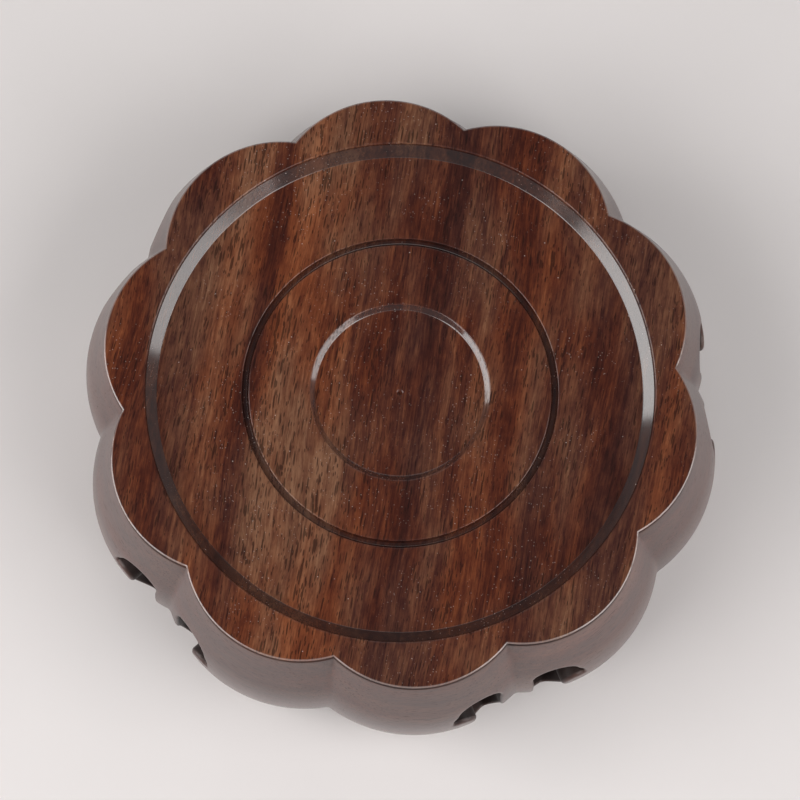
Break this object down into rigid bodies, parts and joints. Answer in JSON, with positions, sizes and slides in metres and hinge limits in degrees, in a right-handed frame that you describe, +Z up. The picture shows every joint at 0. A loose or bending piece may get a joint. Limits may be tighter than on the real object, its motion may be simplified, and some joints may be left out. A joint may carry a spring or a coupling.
{
  "type": "display stand",
  "caption": "Low round hardwood display stand with a scalloped rim, a shallow turned seat, a bulging lobed wall of mitred staves and hooked pierced openings.",
  "frame": {"origin": "middle of the stand, on the floor", "axes": "+Z up from the floor to the seat, +X out through a post that stands between two paired openings"},
  "size_m": [0.1008, 0.1036, 0.032],
  "materials": {
    "board_wood": "satin clear finish over dark red-brown rosewood",
    "wall_wood": "polished clear finish over dark red-brown rosewood",
    "ring_wood": "unpolished rosewood",
    "joint_wood": "bare hardwood"
  },
  "bodies": {
    "root": {"top_board": "board_wood", "stave_01": "wall_wood", "stave_02": "wall_wood", "stave_03": "wall_wood", "stave_04": "wall_wood", "stave_05": "wall_wood", "stave_06": "wall_wood", "stave_07": "wall_wood", "stave_08": "wall_wood", "stave_09": "wall_wood", "stave_10": "wall_wood", "seam_tongues": "joint_wood", "board_pegs": "joint_wood", "base_ring": "ring_wood"}
  },
  "joints": []
}
